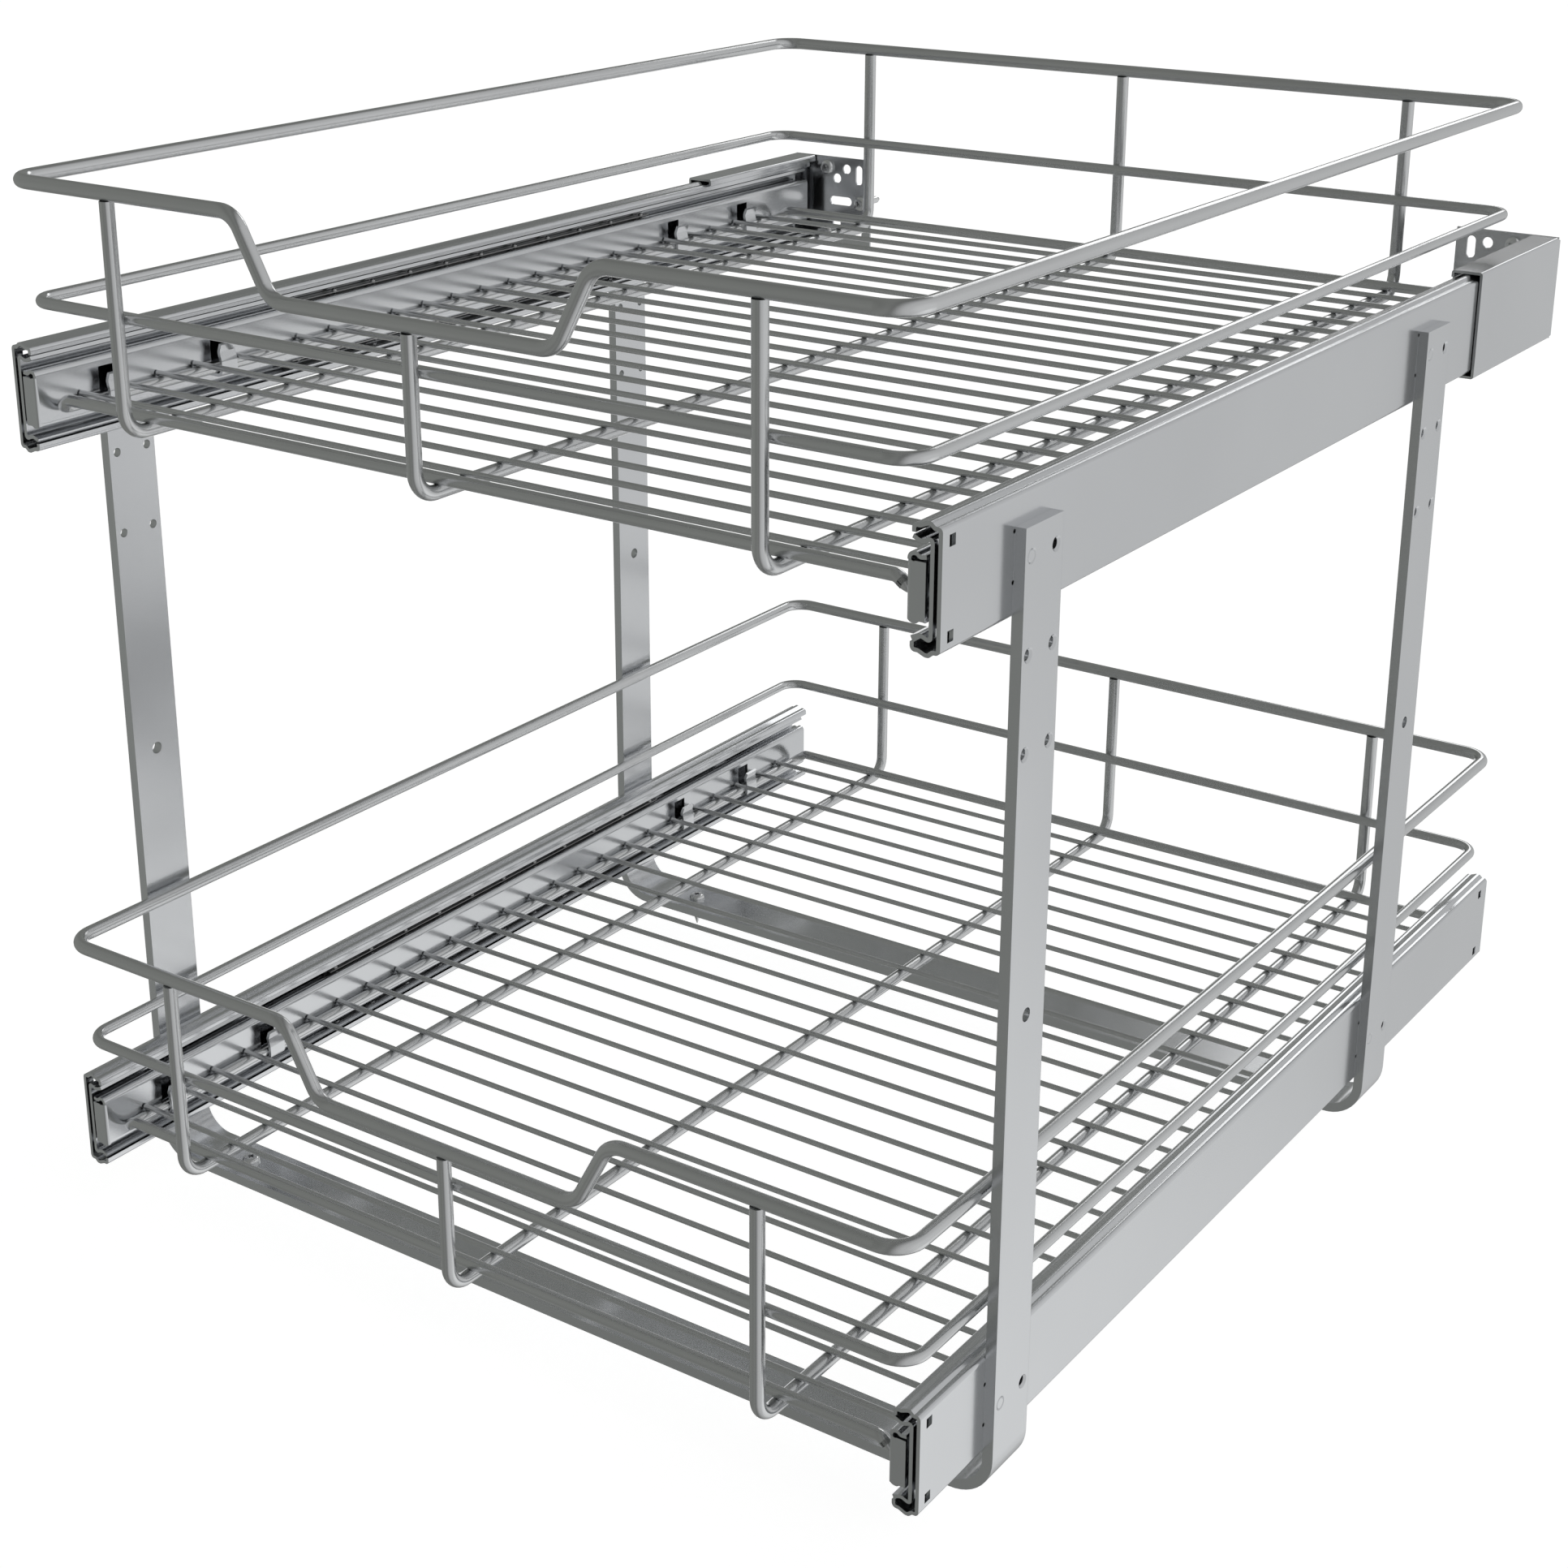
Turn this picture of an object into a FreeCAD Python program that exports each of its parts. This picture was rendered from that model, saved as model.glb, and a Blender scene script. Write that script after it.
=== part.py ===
import FreeCAD, Part
import math
import os

Vector = FreeCAD.Vector

# All sizes in millimetres, +Z up, the baskets pull out along -Y

# The four telescopic slides
slide_length = 550.0
slide_height = 45.0
slide_depth = 12.7
slide_span = 431.2
outer_rail_steel = 1.5
middle_rail_steel = 1.5
inner_rail_steel = 1.4
inner_rail_length = 545.7

# Their rolled sections: an in is taken from the outer face, a back from the inner face,
# and a drop from the middle of the steel at the crest
shoulder_in = 2.9
shoulder_drop = 1.35
crest_in = 4.4
crest_flat = 1.2
gutter_back = 4.4
gutter_drop = 1.15
lip_back = 2.2
lip_drop = 3.65
outer_rail_bends = (1.1, 1.0, 0.9, 0.9, 1.5, 1.1)
middle_web_in = 2.9
middle_edge_drop = 4.75
middle_trough_back = 5.1
middle_trough_drop = 6.4
middle_tip_back = 1.9
middle_tip_drop = 4.95
middle_rail_bends = (1.0, 2.8)
inner_crest_drop = 10.5
inner_crest_back = 3.3
inner_trough_back = 4.6
inner_trough_drop = 11.55
inner_tip_in = 5.65
inner_tip_drop = 11.25
inner_rail_bends = (1.8, 0.8, 0.9)

# Steel balls and the strips that space them
outer_ball = 2.8
inner_ball = 2.9
ball_back = 5.2
outer_ball_drop = 3.65
inner_ball_drop = 8.85
balls_in_row = 11
ball_row_start = 150.0
ball_pitch = 25.0
cage_overhang = 5.0
outer_cage_steel = 0.8
inner_cage_steel = 0.45
cage_flange_back = 3.5
ball_snap = 0.05

# Small openings punched in the slides
front_window_inset = 6.0
rear_window_inset = 9.3
web_window = (3.7, 4.0)
web_window_height = 15.9
pilot_hole = 1.6
pilot_height = 8.75
punch_reach = 1.0

# The folded front end of each inner rail
end_tab_reach = 5.65
end_tab_height = 8.9
end_tab_foot = 10.9
end_tab_proud = 0.4
end_tab_bend = 1.25
tab_relief = 1.6
tab_relief_in = 0.25
tab_relief_lift = 0.53

# Hooks cut out of the inner rails, bent round the floor wire of the basket
hook_windows = ((32.0, 41.0), (93.7, 102.7), (416.7, 425.8), (478.2, 487.3))
hook_window_top = 7.5
hook_gap = 0.1
hook_root = 1.5
hook_rise = 6.0
hook_pinch = (0.95, 4.2)
hook_flare = (1.25, 3.3)
hook_bends = (1.0, 2.2, 1.6, 0.8)

# The two flat-bar hoops
bar_width = 25.0
bar_thickness = 4.4
hoop_inset = 44.9
hoop_pitch = 342.7
hoop_bend = 13.8
lower_slide_height = 41.8
tier_pitch = 325.9
hoop_end_rise = 10.3
pair_spacing = 16.4
pair_hole = 3.8
pair_chamfer = 0.9
pair_drops = (34.4, 69.6)
single_hole = 5.3
single_hole_drop = 170.0
rivet_groove = 0.45
rivet_set_back = 0.05
rivet_face = 4.0

# Screws
screw_head = (8.0, 2.6)
screw_shank = 4.2
screw_thread = 3.8
thread_lead = 0.3
base_screw_inset = 40.0
base_screw_reach = 10.8
base_screw_point = (5.0, 0.5)
bracket_screw_reach = 16.0
bracket_screw_point = (2.0, 2.3)
bracket_screw_turn = 45.0
cross_recess = (0.9, 4.4, 1.4)
pan_rim = 0.95
pan_flat = 3.0
pan_crown = (0.82, 0.72)

# The rear brackets on the upper slides
bracket_steel = 1.2
bracket_gap = 0.3
bracket_length = 100.8
bracket_plate_gap = 4.3
bracket_plate_reach = 48.6
bracket_lip_height = 20.8
bracket_corner = 0.7
bracket_relief = 0.8
corner_screw = (20.5, 18.2)
edge_screw_in = 42.6
low_hole = (26.7, 12.4)
high_hole = (33.0, 17.9)
plate_hole = 5.2
upright_slot = (41.0, 15.1)
upright_slot_size = (4.3, 10.6)
level_slot_in = 29.3
level_slot_size = (14.3, 4.8)

# The wire baskets
rail_wire = 5.8
ring_wire = 4.8
cross_wire = 2.5
weld_bite = 0.15
rail_over_slide = 88.0
mid_rail_drop = 48.2
floor_drop = 93.3
long_wire_inset = 66.6
long_wire_bend = 10.0
rail_corner = 11.5
mid_rail_corner = 10.5
dip_depth = 30.8
dip_top_x = 82.5
dip_bottom_x = 65.8
dip_bend = 11.0
ring_corner = 5.9
ring_drop_run = 6.2
ring_drop_bend = 4.0
cross_end_gap = 0.6
cross_first = 21.9
cross_pitch = 20.6
tiers = {
    "upper": {"rail_inset": 11.9, "front": -3.3, "rear": 524.5, "ring": (8.1, 514.1), "crosses": 24},
    "lower": {"rail_inset": 5.2, "front": -4.8, "rear": 547.8, "ring": (8.1, 533.9), "crosses": 25},
}

# Derived places
slide_face = slide_span / 2
web_side = slide_face - slide_depth
ball_in = slide_depth - ball_back
crest_height = (slide_height - outer_rail_steel) / 2
outer_ball_height = crest_height - outer_ball_drop
inner_ball_height = crest_height - inner_ball_drop
base_screw_x = slide_face - base_screw_inset
long_wire_x = slide_face - long_wire_inset
slide_z = {"lower": base_screw_reach + lower_slide_height}
slide_z["upper"] = slide_z["lower"] + tier_pitch
hoop_top = slide_z["upper"] + hoop_end_rise
rail_z = {tier: height + rail_over_slide for tier, height in slide_z.items()}
hoop_lines = {"front": hoop_inset + bar_width / 2}
hoop_lines["rear"] = hoop_lines["front"] + hoop_pitch
bracket_plate_front = slide_length + bracket_plate_gap
bracket_plate_rear = bracket_plate_front + bracket_steel
bracket_front = bracket_plate_rear - bracket_length
layout_front = min(tier["front"] for tier in tiers.values()) - rail_wire / 2
layout_rear = bracket_plate_rear + bracket_screw_reach
cross_height = -floor_drop + (rail_wire + cross_wire) / 2 - weld_bite
ring_high = -floor_drop + (rail_wire + ring_wire) / 2 - weld_bite
ring_low = cross_height - (cross_wire + ring_wire) / 2 + weld_bite
ring_side_x = web_side - hook_gap - ring_wire / 2
to_row_frame = Vector(0, -(layout_front + layout_rear) / 2, 0)


# Paths and swept forms
def bent_edges(points, bends, closed=False):
    count = len(points)
    corners = list(range(1, count)) + [0] if closed else list(range(1, count - 1))
    edges = []
    last = points[0]
    if closed:
        last = (points[0] + points[1]) * 0.5
    finish = last if closed else points[-1]
    for i in corners:
        corner = points[i]
        back = (points[i - 1] - corner).normalize()
        ahead = (points[(i + 1) % count] - corner).normalize()
        half = back.getAngle(ahead) / 2
        reach = bends[i] / math.tan(half)
        enter = corner + back * reach
        leave = corner + ahead * reach
        if (enter - last).Length > 1e-6:
            edges.append(Part.LineSegment(last, enter).toShape())
        if bends[i] > 1e-6:
            toward = (back + ahead).normalize()
            crown = corner + toward * (bends[i] / math.sin(half) - bends[i])
            edges.append(Part.Arc(enter, crown, leave).toShape())
        last = leave
    if (finish - last).Length > 1e-6:
        edges.append(Part.LineSegment(last, finish).toShape())
    return edges


def rod(points, bends, diameter, closed=False):
    edges = bent_edges(points, bends, closed)
    first = edges[0]
    start = first.valueAt(first.FirstParameter)
    heading = first.tangentAt(first.FirstParameter)
    profile = Part.Wire([Part.makeCircle(diameter / 2, start, heading)])
    return Part.Wire(edges).makePipeShell([profile], True, False)


def shifted_path(points, bends, distance):
    steps = [(b - a).normalize() for a, b in zip(points, points[1:])]
    normals = [Vector(-step.z, 0, step.x) for step in steps]
    moved = [points[0] + normals[0] * distance]
    radii = [0.0]
    for i in range(1, len(points) - 1):
        before, after = normals[i - 1], normals[i]
        mitre = (before + after) * (distance / (1 + before.dot(after)))
        turn = steps[i - 1].x * steps[i].z - steps[i - 1].z * steps[i].x
        moved.append(points[i] + mitre)
        radii.append(max(bends[i] - distance * math.copysign(1, turn), 0.0))
    moved.append(points[-1] + normals[-1] * distance)
    radii.append(0.0)
    return moved, radii


def strip(points, bends, thickness, length):
    left, left_bends = shifted_path(points, bends, thickness / 2)
    right, right_bends = shifted_path(points, bends, -thickness / 2)
    edges = bent_edges(left, left_bends)
    edges.append(Part.LineSegment(left[-1], right[-1]).toShape())
    edges += bent_edges(right[::-1], right_bends[::-1])
    edges.append(Part.LineSegment(right[0], left[0]).toShape())
    return Part.Face(Part.Wire(edges)).extrude(Vector(0, length, 0))


# A section is given by the upper half of its middle line, as (distance in from the outer face, height),
# and by the bends between its two ends
def section_strip(upper_half, upper_bends, thickness, length, y=0.0):
    path = [(inset, -height) for inset, height in reversed(upper_half)] + list(upper_half)
    points = [Vector(slide_face - inset, y, height) for inset, height in path]
    bends = [0, *reversed(upper_bends), *upper_bends, 0]
    return strip(points, bends, thickness, length)


def box_between(low, high):
    corner = Vector(*(min(a, b) for a, b in zip(low, high)))
    sizes = [abs(b - a) for a, b in zip(low, high)]
    return Part.makeBox(*sizes, corner)


def slot_cutter(centre, width, height, depth):
    radius = min(width, height) / 2
    reach_x = width / 2 - radius
    reach_z = height / 2 - radius
    ends = [centre + Vector(side * reach_x, 0, side * reach_z) for side in (-1, 1)]
    pegs = [Part.makeCylinder(radius, depth, end, Vector(0, 1, 0)) for end in ends]
    if reach_x > 0:
        low = centre + Vector(-reach_x, 0, -radius)
        core = Part.makeBox(2 * reach_x, depth, 2 * radius, low)
    else:
        low = centre + Vector(-radius, 0, -reach_z)
        core = Part.makeBox(2 * radius, depth, 2 * reach_z, low)
    return core.fuse(pegs)


# A pan-head screw standing on the origin, head up, point down, its thread starting below the piece it holds
def pan_screw(held, reach, point):
    diameter, height = screw_head
    radius = diameter / 2
    taper, tip = point
    end = -held - reach
    thread_top = -held - thread_lead
    across, up = pan_crown
    crown = Vector(radius * across, 0, pan_rim + (height - pan_rim) * up)
    corners = [
        Vector(pan_flat / 2, 0, height), Vector(0, 0, height), Vector(0, 0, end),
        Vector(tip / 2, 0, end), Vector(screw_thread / 2, 0, end + taper),
        Vector(screw_thread / 2, 0, thread_top), Vector(screw_shank / 2, 0, thread_top),
        Vector(screw_shank / 2, 0, 0), Vector(radius, 0, 0), Vector(radius, 0, pan_rim),
    ]
    outline = [Part.LineSegment(a, b).toShape() for a, b in zip(corners, corners[1:])]
    outline.append(Part.Arc(corners[-1], crown, corners[0]).toShape())
    solid = Part.Face(Part.Wire(outline)).revolve(Vector(), Vector(0, 0, 1), 360)
    wing, span, depth = cross_recess
    across = Part.makeBox(span, wing, depth, Vector(-span / 2, -wing / 2, height - depth))
    along = Part.makeBox(wing, span, depth, Vector(-wing / 2, -span / 2, height - depth))
    return solid.cut(across.fuse(along)).removeSplitter()


def mirrored(shape):
    return shape.mirror(Vector(), Vector(1, 0, 0))


def two_sides(shape):
    return {"right": shape, "left": mirrored(shape)}


def moved(shape, x=0.0, y=0.0, z=0.0):
    return shape.translated(Vector(x, y, z))


# One slide, drawn at height zero on the right-hand side, each section given by its upper half
def make_outer_rail():
    gutter_in = slide_depth - gutter_back
    lip_in = slide_depth - lip_back
    places = [
        (outer_rail_steel / 2, crest_height - shoulder_drop), (shoulder_in, crest_height - shoulder_drop),
        (crest_in, crest_height), (crest_in + crest_flat, crest_height),
        (gutter_in, crest_height - gutter_drop), (lip_in, crest_height - gutter_drop),
        (lip_in, crest_height - lip_drop),
    ]
    rail = section_strip(places, outer_rail_bends, outer_rail_steel, slide_length)
    cutters = []
    width, height = web_window
    for y in (front_window_inset, slide_length - rear_window_inset):
        for side in (-1, 1):
            z = side * web_window_height
            low = (slide_face - outer_rail_steel - punch_reach, y - width / 2, z - height / 2)
            high = (slide_face + punch_reach, y + width / 2, z + height / 2)
            cutters.append(box_between(low, high))
    for line in hoop_lines.values():
        for side in (-1, 1):
            cutters.append(web_hole(pair_hole, line + side * pair_spacing / 2, 0))
            cutters.append(web_hole(pilot_hole, line - bar_width / 2, side * pilot_height))
    return rail.cut(cutters)


def web_hole(diameter, y, z):
    start = Vector(slide_face - outer_rail_steel - punch_reach, y, z)
    return Part.makeCylinder(diameter / 2, outer_rail_steel + 2 * punch_reach, start, Vector(1, 0, 0))


def make_middle_rail():
    places = [
        (middle_web_in + middle_rail_steel / 2, crest_height - middle_edge_drop),
        (slide_depth - middle_trough_back, crest_height - middle_trough_drop),
        (slide_depth - middle_tip_back, crest_height - middle_tip_drop),
    ]
    return section_strip(places, middle_rail_bends, middle_rail_steel, inner_rail_length)


def make_inner_rail():
    places = [
        (slide_depth - inner_rail_steel / 2, crest_height - inner_crest_drop),
        (slide_depth - inner_crest_back, crest_height - inner_crest_drop),
        (slide_depth - inner_trough_back, crest_height - inner_trough_drop),
        (inner_tip_in, crest_height - inner_tip_drop),
    ]
    rail = section_strip(places, inner_rail_bends, inner_rail_steel, inner_rail_length)
    tab_front = -end_tab_proud
    tab_rear = tab_front + inner_rail_steel
    tab = box_between(
        (web_side, tab_front, -end_tab_foot),
        (slide_face - end_tab_reach, tab_rear, end_tab_height),
    )
    edges = [edge for edge in tab.Edges if is_tab_bend(edge, web_side, tab_front)]
    tab = tab.makeFillet(end_tab_bend, edges)
    bend_room = box_between(
        (web_side - punch_reach, -punch_reach, -end_tab_foot),
        (web_side + inner_rail_steel, tab_rear, end_tab_height),
    )
    rail = rail.cut(bend_room).fuse(tab)
    relief_x = web_side + inner_rail_steel + tab_relief_in + tab_relief / 2
    relief_depth = inner_rail_steel + 2 * punch_reach
    relief_start = Vector(relief_x, tab_front - punch_reach, end_tab_height + tab_relief_lift)
    cutters = [Part.makeCylinder(tab_relief / 2, relief_depth, relief_start, Vector(0, 1, 0))]
    for front, rear in hook_windows:
        low = (web_side - punch_reach, front, hook_floor())
        high = (web_side + inner_rail_steel + punch_reach, rear, hook_window_top)
        cutters.append(box_between(low, high))
    rail = rail.cut(cutters)
    hooks = [make_hook(front, rear) for front, rear in hook_windows]
    return rail.fuse(hooks).removeSplitter()


def is_tab_bend(edge, x, y):
    middle = edge.BoundBox.Center
    upright = edge.BoundBox.ZLength > end_tab_height
    return upright and abs(middle.x - x) < 1e-6 and abs(middle.y - y) < 1e-6


# Centre height of the tongue where it passes under the floor wire
def hook_floor():
    ring_centre = rail_over_slide + ring_low
    return ring_centre - ring_wire / 2 - hook_gap - inner_rail_steel / 2


# A tongue bent out of the foot of its window, under the wire and up behind it
def make_hook(front, rear):
    root_in = slide_depth - inner_rail_steel / 2
    back_in = slide_depth + ring_wire + 2 * hook_gap + inner_rail_steel / 2
    floor = hook_floor()
    pinch, pinch_rise = hook_pinch
    flare, flare_rise = hook_flare
    places = [
        (root_in, floor - hook_root), (root_in, floor), (back_in, floor), (back_in, floor + hook_rise),
        (back_in - pinch, floor + hook_rise + pinch_rise),
        (back_in - pinch + flare, floor + hook_rise + pinch_rise + flare_rise),
    ]
    points = [Vector(slide_face - inset, front, height) for inset, height in places]
    return strip(points, [0, *hook_bends, 0], inner_rail_steel, rear - front)


def ball_lines():
    return [ball_row_start + i * ball_pitch for i in range(balls_in_row)]


def make_cage(web, steel, ball, ball_height):
    start = ball_row_start - cage_overhang
    length = (balls_in_row - 1) * ball_pitch + 2 * cage_overhang
    reach = slide_depth - cage_flange_back
    cage = section_strip([(web, ball_height), (reach, ball_height)], [steel], steel, length, start)
    pockets = []
    for y in ball_lines():
        low = Vector(slide_face - ball_in, y, -ball_height - ball)
        pockets.append(Part.makeCylinder(ball / 2 - ball_snap, 2 * (ball_height + ball), low))
    return cage.cut(pockets)


def make_balls(ball, height):
    centres = [(y, side * height) for side in (-1, 1) for y in ball_lines()]
    return [Part.makeSphere(ball / 2, Vector(slide_face - ball_in, y, z)) for y, z in centres]


# The flat-bar hoop that carries the slides
def make_hoop(line):
    centre_x = slide_face + bar_thickness / 2
    bottom = base_screw_reach + bar_thickness / 2
    bend = hoop_bend + bar_thickness / 2
    points = [
        Vector(centre_x, line - bar_width / 2, hoop_top),
        Vector(centre_x, line - bar_width / 2, bottom),
        Vector(-centre_x, line - bar_width / 2, bottom),
        Vector(-centre_x, line - bar_width / 2, hoop_top),
    ]
    hoop = strip(points, [0, bend, bend, 0], bar_thickness, bar_width)
    cutters = []
    heights = [slide_z["lower"], slide_z["upper"]] + [slide_z["upper"] - drop for drop in pair_drops]
    for side in (-1, 1):
        for z in heights:
            for end in (-1, 1):
                cutters.append(bar_hole(side, line + end * pair_spacing / 2, z))
        start = Vector(side * (slide_face - 1), line, slide_z["upper"] - single_hole_drop)
        reach = Vector(side, 0, 0)
        cutters.append(Part.makeCylinder(single_hole / 2, bar_thickness + 2, start, reach))
        foot = Vector(side * base_screw_x, line, base_screw_reach - 1)
        cutters.append(Part.makeCylinder(screw_shank / 2, bar_thickness + 2, foot))
    return hoop.cut(cutters)


# A small hole through the upright with its outer rim bevelled
def bar_hole(side, y, z):
    reach = Vector(side, 0, 0)
    inner = Vector(side * slide_face, y, z)
    outer = inner + reach * (bar_thickness - pair_chamfer)
    radius = pair_hole / 2
    straight = Part.makeCylinder(radius, bar_thickness, inner, reach)
    bevel = Part.makeCone(radius, radius + pair_chamfer, pair_chamfer, outer, reach)
    return straight.fuse(bevel)


# A peg through slide and upright that swells into the bevel and leaves a fine groove round its face
def make_rivet(side, line, z):
    radius = pair_hole / 2
    swell = bar_thickness - pair_chamfer + rivet_groove
    outline = [
        (0, -outer_rail_steel), (radius, -outer_rail_steel), (radius, bar_thickness - pair_chamfer),
        (radius + rivet_groove, swell), (rivet_face / 2, bar_thickness - rivet_set_back),
        (0, bar_thickness - rivet_set_back),
    ]
    points = [Vector(side * (slide_face + along), line - pair_spacing / 2, z + out) for out, along in outline]
    face = Part.Face(Part.makePolygon(points + points[:1]))
    return face.revolve(points[0], Vector(side, 0, 0), 360)


# The rear bracket, drawn on the right-hand side at height zero
def make_bracket():
    web = -bracket_gap - bracket_steel / 2
    top = slide_height / 2 + bracket_gap + bracket_steel / 2
    lip = slide_depth - lip_back + outer_rail_steel / 2 + bracket_gap + bracket_steel / 2
    flange_end = bracket_plate_front - bracket_relief
    sleeve = section_strip(
        [(web, top), (lip, top), (lip, bracket_lip_height)],
        [bracket_corner, bracket_corner],
        bracket_steel,
        flange_end - bracket_front,
        bracket_front,
    )
    outer_x = slide_face + bracket_gap + bracket_steel
    half_height = top + bracket_steel / 2
    cheek_height = half_height - bracket_steel
    cheek = box_between(
        (outer_x - bracket_steel, flange_end - bracket_steel, -cheek_height),
        (outer_x, bracket_plate_rear, cheek_height),
    )
    plate = box_between(
        (slide_face - bracket_plate_reach, bracket_plate_front, -half_height),
        (outer_x - bracket_steel / 2, bracket_plate_rear, half_height),
    )
    bracket = sleeve.fuse([cheek, plate])
    cutters = []
    for inset, z in bracket_screw_places():
        cutters.append(plate_hole_cutter(inset, z, screw_shank, screw_shank))
    for inset, height in (low_hole, high_hole):
        for side in (-1, 1):
            cutters.append(plate_hole_cutter(inset, side * height, plate_hole, plate_hole))
    for side in (-1, 1):
        inset, height = upright_slot
        cutters.append(plate_hole_cutter(inset, side * height, *upright_slot_size))
    cutters.append(plate_hole_cutter(level_slot_in, 0, *level_slot_size))
    return bracket.cut(cutters).removeSplitter()


def plate_hole_cutter(inset, z, width, height):
    centre = Vector(slide_face - inset, bracket_plate_front - 1, z)
    if width == height:
        return Part.makeCylinder(width / 2, bracket_steel + 2, centre, Vector(0, 1, 0))
    return slot_cutter(centre, width, height, bracket_steel + 2)


def bracket_screw_places():
    inset, height = corner_screw
    return [(inset, height), (inset, -height), (edge_screw_in, 0)]


def make_bracket_screws():
    screw = pan_screw(bracket_steel, bracket_screw_reach, bracket_screw_point)
    screw.rotate(Vector(), Vector(0, 0, 1), bracket_screw_turn)
    screw.rotate(Vector(), Vector(1, 0, 0), 90)
    places = bracket_screw_places()
    return [moved(screw, slide_face - inset, bracket_plate_front, z) for inset, z in places]


# Basket wires, z measured from the top rail
def make_top_rail(tier):
    half, front, rear = slide_face - tier["rail_inset"], tier["front"], tier["rear"]
    points = [
        Vector(0, rear, 0), Vector(-half, rear, 0), Vector(-half, front, 0),
        Vector(-dip_top_x, front, 0), Vector(-dip_bottom_x, front, -dip_depth),
        Vector(dip_bottom_x, front, -dip_depth), Vector(dip_top_x, front, 0),
        Vector(half, front, 0), Vector(half, rear, 0),
    ]
    bends = [0, rail_corner, rail_corner] + [dip_bend] * 4 + [rail_corner] * 2
    return rod(points[1:], bends[1:], rail_wire, True)


def make_mid_rail(tier):
    half = slide_face - tier["rail_inset"]
    inset = (rail_wire + ring_wire) / 2 - weld_bite
    front, rear = tier["front"] + inset, tier["rear"] - inset
    points = [
        Vector(half, front, -mid_rail_drop), Vector(half, rear, -mid_rail_drop),
        Vector(-half, rear, -mid_rail_drop), Vector(-half, front, -mid_rail_drop),
    ]
    return rod(points, [mid_rail_corner] * 4, ring_wire, True)


def make_long_wires(tier):
    wires = []
    for x in (-long_wire_x, 0, long_wire_x):
        rear_top = -rail_wire / 2 - weld_bite
        over_dip = abs(x) < dip_bottom_x
        front_top = rear_top - (dip_depth if over_dip else 0)
        points = [
            Vector(x, tier["front"], front_top + 2 * weld_bite), Vector(x, tier["front"], -floor_drop),
            Vector(x, tier["rear"], -floor_drop), Vector(x, tier["rear"], rear_top + 2 * weld_bite),
        ]
        wires.append(rod(points, [0, long_wire_bend, long_wire_bend, 0], rail_wire))
    return wires


# The closed floor wire, high at the two ends and dropping in its corners
def make_floor_ring(tier):
    front, rear = tier["ring"]
    quarter = [(ring_side_x - ring_drop_run, ring_high, ring_drop_bend), (ring_side_x, ring_low, ring_corner)]
    path = [(x, front, z, bend) for x, z, bend in quarter]
    path += [(x, rear, z, bend) for x, z, bend in reversed(quarter)]
    path += [(-x, rear, z, bend) for x, z, bend in quarter]
    path += [(-x, front, z, bend) for x, z, bend in reversed(quarter)]
    points = [Vector(x, y, z) for x, y, z, bend in path]
    return rod(points, [bend for x, y, z, bend in path], ring_wire, True)


def make_cross_wires(tier):
    half = web_side - cross_end_gap
    wires = []
    for i in range(tier["crosses"]):
        start = Vector(-half, cross_first + i * cross_pitch, cross_height)
        wires.append(Part.makeCylinder(cross_wire / 2, 2 * half, start, Vector(1, 0, 0)))
    return wires


# Every part under its own name
nodes = {}
for name, line in hoop_lines.items():
    nodes[name + "_hoop"] = [make_hoop(line)]

base_screw = pan_screw(bar_thickness, base_screw_reach, base_screw_point)
nodes["base_screws"] = [
    moved(base_screw, side * base_screw_x, line, base_screw_reach + bar_thickness)
    for line in hoop_lines.values()
    for side in (-1, 1)
]
nodes["slide_rivets"] = [
    make_rivet(side, line, z)
    for z in slide_z.values()
    for line in hoop_lines.values()
    for side in (-1, 1)
]

outer_rails = two_sides(make_outer_rail())
middle_rails = two_sides(make_middle_rail())
inner_rails = two_sides(make_inner_rail())
outer_cage_web = (outer_rail_steel + middle_web_in) / 2
inner_cage_web = (middle_web_in + middle_rail_steel + inner_tip_in) / 2
outer_cages = two_sides(make_cage(outer_cage_web, outer_cage_steel, outer_ball, outer_ball_height))
inner_cages = two_sides(make_cage(inner_cage_web, inner_cage_steel, inner_ball, inner_ball_height))
outer_balls = make_balls(outer_ball, outer_ball_height)
inner_balls = make_balls(inner_ball, inner_ball_height)

for name, tier in tiers.items():
    slide = slide_z[name]
    for side in ("left", "right"):
        nodes[f"{name}_{side}_outer_rail"] = [moved(outer_rails[side], z=slide)]
        nodes[f"{name}_{side}_middle_rail"] = [moved(middle_rails[side], z=slide)]
        nodes[f"{name}_{side}_inner_rail"] = [moved(inner_rails[side], z=slide)]
        nodes[f"{name}_{side}_outer_cage"] = [moved(outer_cages[side], z=slide)]
        nodes[f"{name}_{side}_inner_cage"] = [moved(inner_cages[side], z=slide)]
    for kind, balls in (("outer", outer_balls), ("inner", inner_balls)):
        both = balls + [mirrored(ball) for ball in balls]
        nodes[f"{name}_{kind}_balls"] = [moved(ball, z=slide) for ball in both]
    top = rail_z[name]
    nodes[f"{name}_top_rail"] = [moved(make_top_rail(tier), z=top)]
    nodes[f"{name}_mid_rail"] = [moved(make_mid_rail(tier), z=top)]
    nodes[f"{name}_floor_ring"] = [moved(make_floor_ring(tier), z=top)]
    nodes[f"{name}_long_wires"] = [moved(wire, z=top) for wire in make_long_wires(tier)]
    nodes[f"{name}_cross_wires"] = [moved(wire, z=top) for wire in make_cross_wires(tier)]

brackets = two_sides(make_bracket())
bracket_screws = make_bracket_screws()
for side in ("left", "right"):
    screws = bracket_screws if side == "right" else [mirrored(screw) for screw in bracket_screws]
    nodes[f"{side}_bracket"] = [moved(brackets[side], z=slide_z["upper"])]
    nodes[f"{side}_bracket_screws"] = [moved(screw, z=slide_z["upper"]) for screw in screws]

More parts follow.
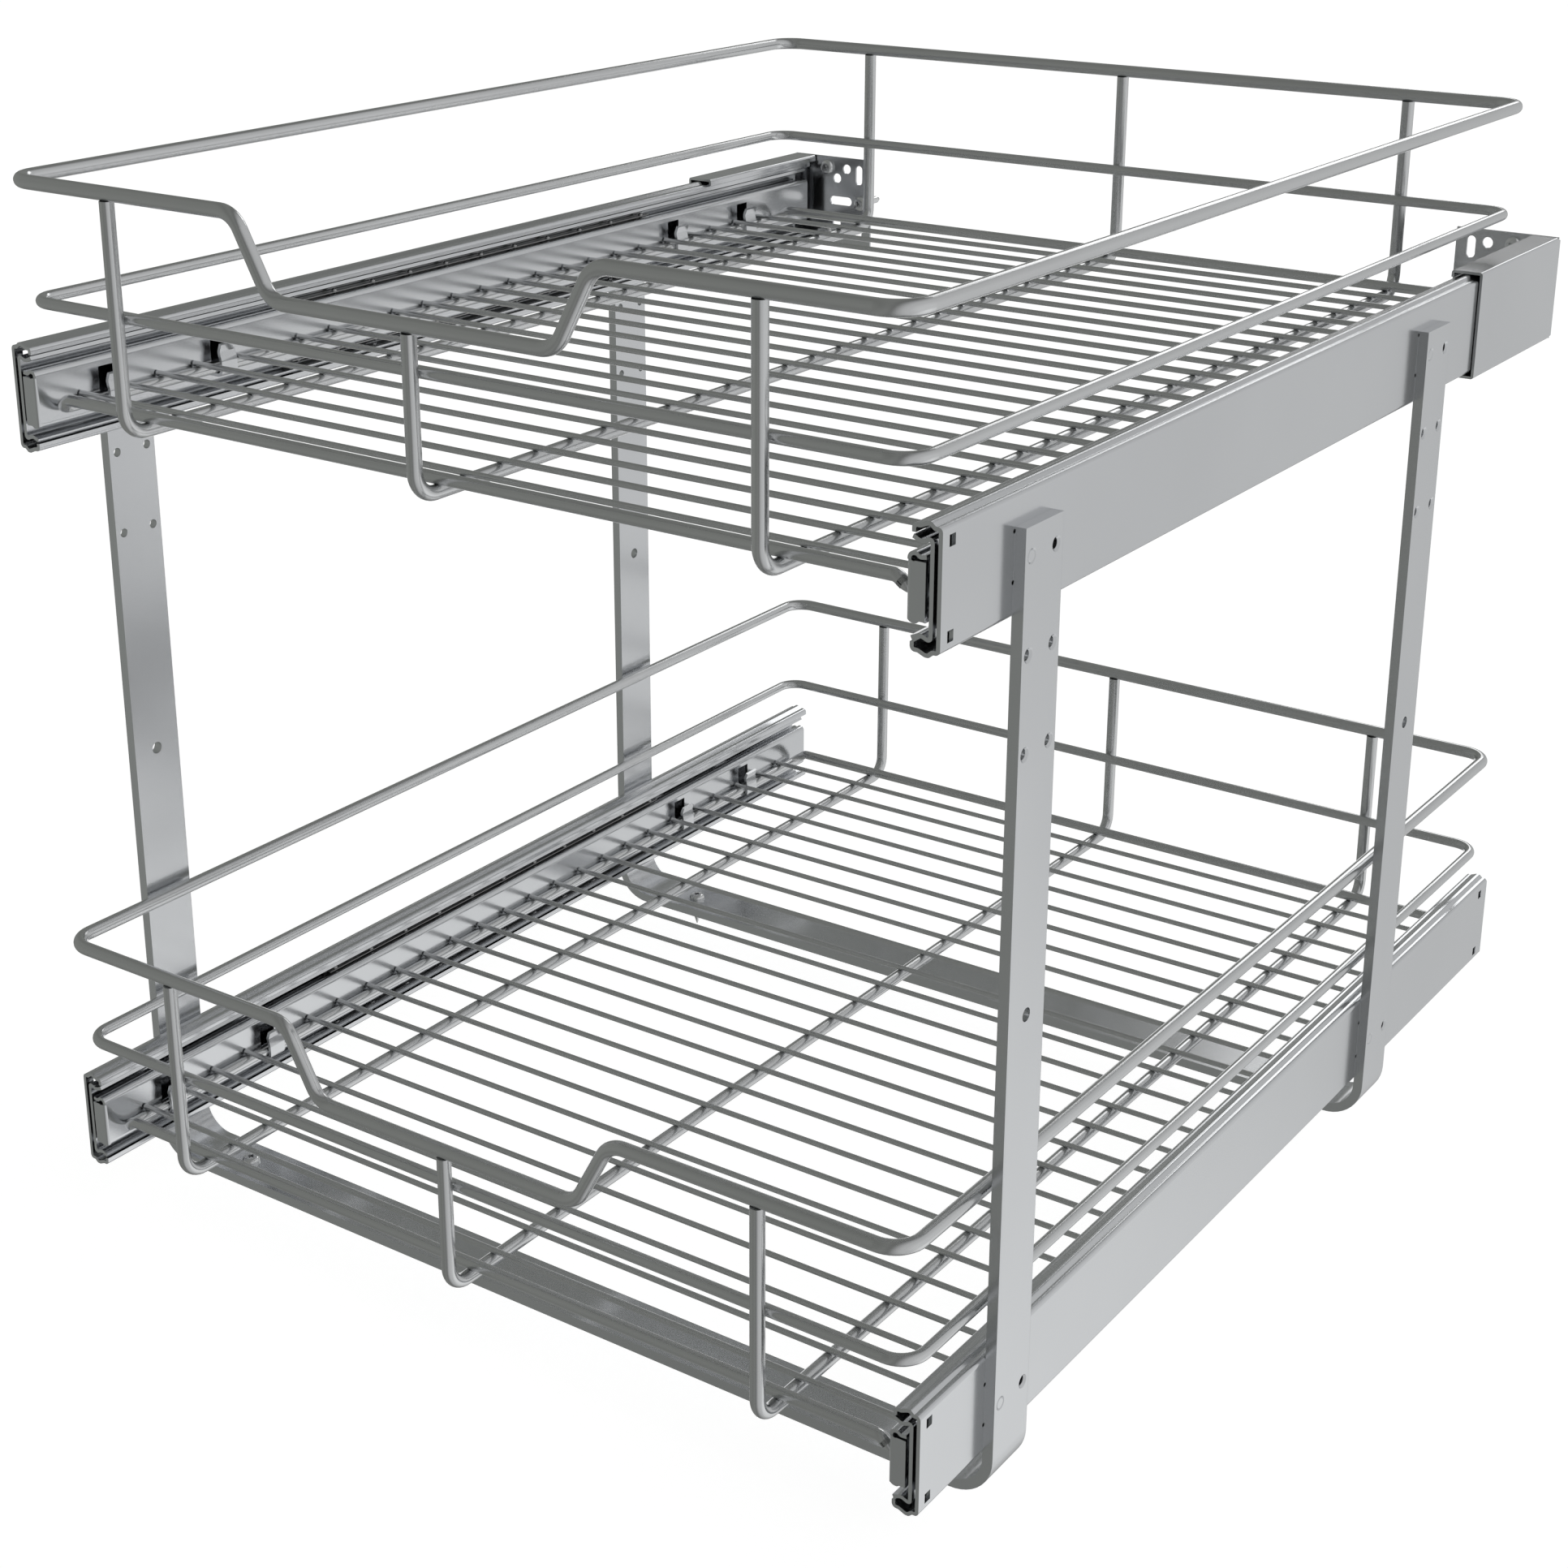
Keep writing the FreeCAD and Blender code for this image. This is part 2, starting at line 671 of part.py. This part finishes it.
os.makedirs("parts", exist_ok=True)
for name, solids in nodes.items():
    shape = solids[0] if len(solids) == 1 else Part.makeCompound(solids)
    shape = shape.translated(to_row_frame)
    shape.exportStep(os.path.join("parts", name + ".step"))
    box = shape.BoundBox
    print(name, len(shape.Solids), shape.isValid(), round(shape.Volume), [round(v, 2) for v in (
        box.XMin, box.XMax, box.YMin, box.YMax, box.ZMin, box.ZMax)])
print("nodes", len(nodes))
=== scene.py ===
import bpy
import math
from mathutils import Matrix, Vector

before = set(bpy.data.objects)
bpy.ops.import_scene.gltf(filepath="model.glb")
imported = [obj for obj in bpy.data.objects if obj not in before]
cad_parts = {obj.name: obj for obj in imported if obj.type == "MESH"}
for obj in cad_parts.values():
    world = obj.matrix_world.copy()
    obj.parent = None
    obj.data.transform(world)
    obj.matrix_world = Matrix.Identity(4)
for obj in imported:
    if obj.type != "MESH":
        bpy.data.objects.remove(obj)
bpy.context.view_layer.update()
print("frame loaded,", len(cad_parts), "nodes")


def emptyMaterial(name):
    material = bpy.data.materials.new(name)
    material.use_nodes = True
    nodes, links = material.node_tree.nodes, material.node_tree.links
    nodes.clear()
    return material, nodes, links, nodes.new("ShaderNodeOutputMaterial")


# Steel finishes

slideLook = {
    "name": "slideSteel",
    "darkTone": (0.635, 0.645, 0.66), "lightTone": (0.675, 0.685, 0.70),
    "cloudScale": 7, "cloudDetail": 3.0, "cloudRange": (0.3, 0.7),
    "grainStretch": (40, 1.5, 40), "grainScale": 30, "grainDetail": 6.0, "grainRoughness": 0.6,
    "roughness": (0.17, 0.21),
    "bumpStrength": 0.002, "bumpDepth": 0.0001,
    "edgeRadius": 0, "edgeSamples": 6,  # metres, 0 leaves the edges sharp
}
hoopLook = dict(
    slideLook, name="hoopSteel",
    roughness=(0.18, 0.23), grainStretch=(1.5, 40, 1.5), edgeRadius=0.00025)
wireLook = dict(
    slideLook, name="wireSteel",
    darkTone=(0.605, 0.612, 0.618), lightTone=(0.65, 0.657, 0.663),
    roughness=(0.19, 0.23), grainStretch=(4, 4, 4))
screwLook = dict(
    slideLook, name="screwSteel",
    darkTone=(0.74, 0.745, 0.75), lightTone=(0.79, 0.795, 0.80),
    roughness=(0.15, 0.20), grainStretch=(30, 30, 30))
cageLook = dict(
    slideLook, name="cageSteel",
    darkTone=(0.28, 0.28, 0.28), lightTone=(0.34, 0.34, 0.34), roughness=(0.3, 0.42))
ballLook = dict(
    slideLook, name="ballSteel",
    darkTone=(0.34, 0.34, 0.34), lightTone=(0.40, 0.40, 0.40),
    roughness=(0.16, 0.24), grainStretch=(20, 20, 20))


def steelMaterial(look):
    material, nodes, links, output = emptyMaterial(look["name"])
    shader = nodes.new("ShaderNodeBsdfPrincipled")
    shader.inputs["Metallic"].default_value = 1.0
    links.new(shader.outputs["BSDF"], output.inputs["Surface"])
    place = nodes.new("ShaderNodeTexCoord")

    cloud = nodes.new("ShaderNodeTexNoise")  # slow change of tone over the surface
    cloud.inputs["Scale"].default_value = look["cloudScale"]
    cloud.inputs["Detail"].default_value = look["cloudDetail"]
    links.new(place.outputs["Object"], cloud.inputs["Vector"])
    tone = nodes.new("ShaderNodeValToRGB")
    stopLooks = zip(look["cloudRange"], (look["darkTone"], look["lightTone"]))
    for stop, (position, color) in zip(tone.color_ramp.elements, stopLooks):
        stop.position = position
        stop.color = (*color, 1)
    links.new(cloud.outputs["Fac"], tone.inputs["Fac"])
    links.new(tone.outputs["Color"], shader.inputs["Base Color"])

    stretch = nodes.new("ShaderNodeMapping")  # draws the grain out along the piece
    stretch.inputs["Scale"].default_value = look["grainStretch"]
    links.new(place.outputs["Object"], stretch.inputs["Vector"])
    grain = nodes.new("ShaderNodeTexNoise")
    grain.inputs["Scale"].default_value = look["grainScale"]
    grain.inputs["Detail"].default_value = look["grainDetail"]
    grain.inputs["Roughness"].default_value = look["grainRoughness"]
    links.new(stretch.outputs["Vector"], grain.inputs["Vector"])
    sheen = nodes.new("ShaderNodeMapRange")
    sheen.inputs["To Min"].default_value, sheen.inputs["To Max"].default_value = look["roughness"]
    links.new(grain.outputs["Fac"], sheen.inputs["Value"])
    links.new(sheen.outputs["Result"], shader.inputs["Roughness"])

    bump = nodes.new("ShaderNodeBump")
    bump.inputs["Strength"].default_value = look["bumpStrength"]
    bump.inputs["Distance"].default_value = look["bumpDepth"]
    links.new(grain.outputs["Fac"], bump.inputs["Height"])
    if look["edgeRadius"]:
        edge = nodes.new("ShaderNodeBevel")  # rounds sharp edges so that they catch light
        edge.samples = look["edgeSamples"]
        edge.inputs["Radius"].default_value = look["edgeRadius"]
        links.new(edge.outputs["Normal"], bump.inputs["Normal"])
    links.new(bump.outputs["Normal"], shader.inputs["Normal"])
    return material


looks = (slideLook, hoopLook, wireLook, screwLook, cageLook, ballLook)
finishes = {look["name"]: steelMaterial(look) for look in looks}


def finishFor(nodeName):
    if "balls" in nodeName:
        return finishes["ballSteel"]
    if "cage" in nodeName:
        return finishes["cageSteel"]
    if "screws" in nodeName:
        return finishes["screwSteel"]
    if nodeName.endswith(("outer_rail", "middle_rail", "inner_rail", "bracket")):
        return finishes["slideSteel"]
    if nodeName.endswith(("hoop", "rivets")):
        return finishes["hoopSteel"]
    return finishes["wireSteel"]  # what is left are the wires and rails of the baskets


for nodeName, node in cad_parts.items():
    for materialSlot in node.material_slots:
        materialSlot.material = finishFor(nodeName)
print("steel finishes set,", len(finishes), "materials")


# Studio

floorLook = {"size": 60.0, "color": (0.35, 0.35, 0.35), "glow": 0.9}


# The floor is white to the camera and takes shadows, and reflections pass through it to the room
def makeFloor():
    bpy.ops.object.select_all(action="DESELECT")
    bpy.ops.mesh.primitive_plane_add(size=floorLook["size"], location=(0, 0, 0))
    floor = bpy.context.object
    floor.name = "studioFloor"
    material, nodes, links, output = emptyMaterial("paleFloor")
    paint = nodes.new("ShaderNodeBsdfDiffuse")
    paint.inputs["Color"].default_value = (*floorLook["color"], 1)
    glow = nodes.new("ShaderNodeEmission")
    glow.inputs["Strength"].default_value = floorLook["glow"]
    lit = nodes.new("ShaderNodeAddShader")
    links.new(paint.outputs["BSDF"], lit.inputs[0])
    links.new(glow.outputs["Emission"], lit.inputs[1])
    ray = nodes.new("ShaderNodeLightPath")
    clear = nodes.new("ShaderNodeBsdfTransparent")
    choice = nodes.new("ShaderNodeMixShader")
    links.new(ray.outputs["Is Glossy Ray"], choice.inputs["Fac"])
    links.new(lit.outputs["Shader"], choice.inputs[1])
    links.new(clear.outputs["BSDF"], choice.inputs[2])
    links.new(choice.outputs["Shader"], output.inputs["Surface"])
    floor.data.materials.append(material)


# Sides are directions from the object, and a tone belongs to how near a direction is to brightSide
roomLook = {
    "brightSide": (0.62, 0.25, -0.10),
    "tones": (
        (0.22, (0.250, 0.258, 0.244)),
        (0.30, (0.200, 0.206, 0.195)),
        (0.42, (0.240, 0.247, 0.236)),
        (0.50, (0.165, 0.168, 0.163)),
        (0.60, (0.475, 0.48, 0.48)),
        (0.66, (0.595, 0.60, 0.60)),
        (0.73, (0.615, 0.62, 0.62)),
        (0.81, (0.735, 0.74, 0.74)),
    ),
    "glowSide": (0.50, 0.50, -0.70), "glowStart": 0.885, "glowEnd": 0.975, "glowGain": 1.42,
    "wallSide": (-0.539, 0.769, -0.343), "wallStart": 0.92, "wallEnd": 0.95,
}


# The room is bright to the right, more so low down, and dark to the left. A white wall stands
# behind the object in what metal and glass mirror, and all of the background is white to the camera
def makeWorld():
    world = bpy.data.worlds.new("studioWorld")
    bpy.context.scene.world = world
    world.use_nodes = True
    nodes, links = world.node_tree.nodes, world.node_tree.links
    room, output = nodes["Background"], nodes["World Output"]
    ray = nodes.new("ShaderNodeLightPath")
    place = nodes.new("ShaderNodeTexCoord")

    def nearness(side, start=-1.0, end=1.0, low=0.0, high=1.0):
        toward = nodes.new("ShaderNodeVectorMath")
        toward.operation = "DOT_PRODUCT"
        toward.inputs[1].default_value = side
        links.new(place.outputs["Generated"], toward.inputs[0])
        spread = nodes.new("ShaderNodeMapRange")
        ends = {"From Min": start, "From Max": end, "To Min": low, "To Max": high}
        for name, value in ends.items():
            spread.inputs[name].default_value = value
        links.new(toward.outputs["Value"], spread.inputs["Value"])
        return spread.outputs["Result"]

    def joined(operation, first, second):
        meet = nodes.new("ShaderNodeMath")
        meet.operation = operation
        links.new(first, meet.inputs[0])
        links.new(second, meet.inputs[1])
        return meet.outputs["Value"]

    ramp = nodes.new("ShaderNodeValToRGB")
    stops = ramp.color_ramp.elements
    while len(stops) < len(roomLook["tones"]):
        stops.new(1.0)
    for stop, (position, tone) in zip(stops, roomLook["tones"]):
        stop.position = position
        stop.color = (*tone, 1)
    links.new(nearness(roomLook["brightSide"]), ramp.inputs["Fac"])
    links.new(ramp.outputs["Color"], room.inputs["Color"])
    glow = nearness(
        roomLook["glowSide"], roomLook["glowStart"], roomLook["glowEnd"],
        low=1.0, high=roomLook["glowGain"])
    links.new(glow, room.inputs["Strength"])

    white = nodes.new("ShaderNodeBackground")
    white.inputs["Color"].default_value = (1, 1, 1, 1)
    wall = nearness(roomLook["wallSide"], roomLook["wallStart"], roomLook["wallEnd"])
    mirrored = joined(
        "MAXIMUM", ray.outputs["Is Glossy Ray"], ray.outputs["Is Transmission Ray"])
    mirroredWall = joined("MULTIPLY", mirrored, wall)
    choice = nodes.new("ShaderNodeMixShader")
    showsWhite = joined("MAXIMUM", ray.outputs["Is Camera Ray"], mirroredWall)
    links.new(showsWhite, choice.inputs["Fac"])
    links.new(room.outputs["Background"], choice.inputs[1])
    links.new(white.outputs["Background"], choice.inputs[2])
    links.new(choice.outputs["Shader"], output.inputs["Surface"])


keyLamp = {"place": (-0.56, 3.10, 1.85), "target": (0, 0, 0.25), "size": 1.2, "power": 7.5}


def makeKeyLamp():
    bpy.ops.object.light_add(type="AREA", location=keyLamp["place"])
    lamp = bpy.context.object
    lamp.name = "keyLamp"
    lamp.data.shape = "SQUARE"
    lamp.data.size = keyLamp["size"]
    lamp.data.energy = keyLamp["power"]
    aim = Vector(keyLamp["target"]) - Vector(keyLamp["place"])
    lamp.rotation_euler = aim.to_track_quat("-Z", "Y").to_euler()


# Angles in degrees. The focal length and the view's centre are in pixels of the photograph
view = {
    "place": (0.6154, -0.9522, 0.6392), "elevation": 20.038, "azimuth": 35.026,
    "focalPixels": 3250.60, "centrePixel": (933.05, 817.07), "imagePixels": 1932,
    "sensorWidth": 36.0, "nearest": 0.01, "farthest": 100,
}


def makeCamera():
    bpy.ops.object.camera_add(location=view["place"])
    camera = bpy.context.object
    tilt, turn = math.radians(90 - view["elevation"]), math.radians(view["azimuth"])
    camera.rotation_euler = (tilt, 0, turn)
    camera.data.sensor_width = view["sensorWidth"]
    camera.data.lens = view["focalPixels"] / view["imagePixels"] * view["sensorWidth"]
    camera.data.shift_x = 0.5 - view["centrePixel"][0] / view["imagePixels"]
    camera.data.shift_y = view["centrePixel"][1] / view["imagePixels"] - 0.5
    camera.data.clip_start = view["nearest"]
    camera.data.clip_end = view["farthest"]
    bpy.context.scene.camera = camera


makeFloor()
makeWorld()
makeKeyLamp()
makeCamera()
bpy.context.scene.view_settings.view_transform = "Standard"
print("studio ready")
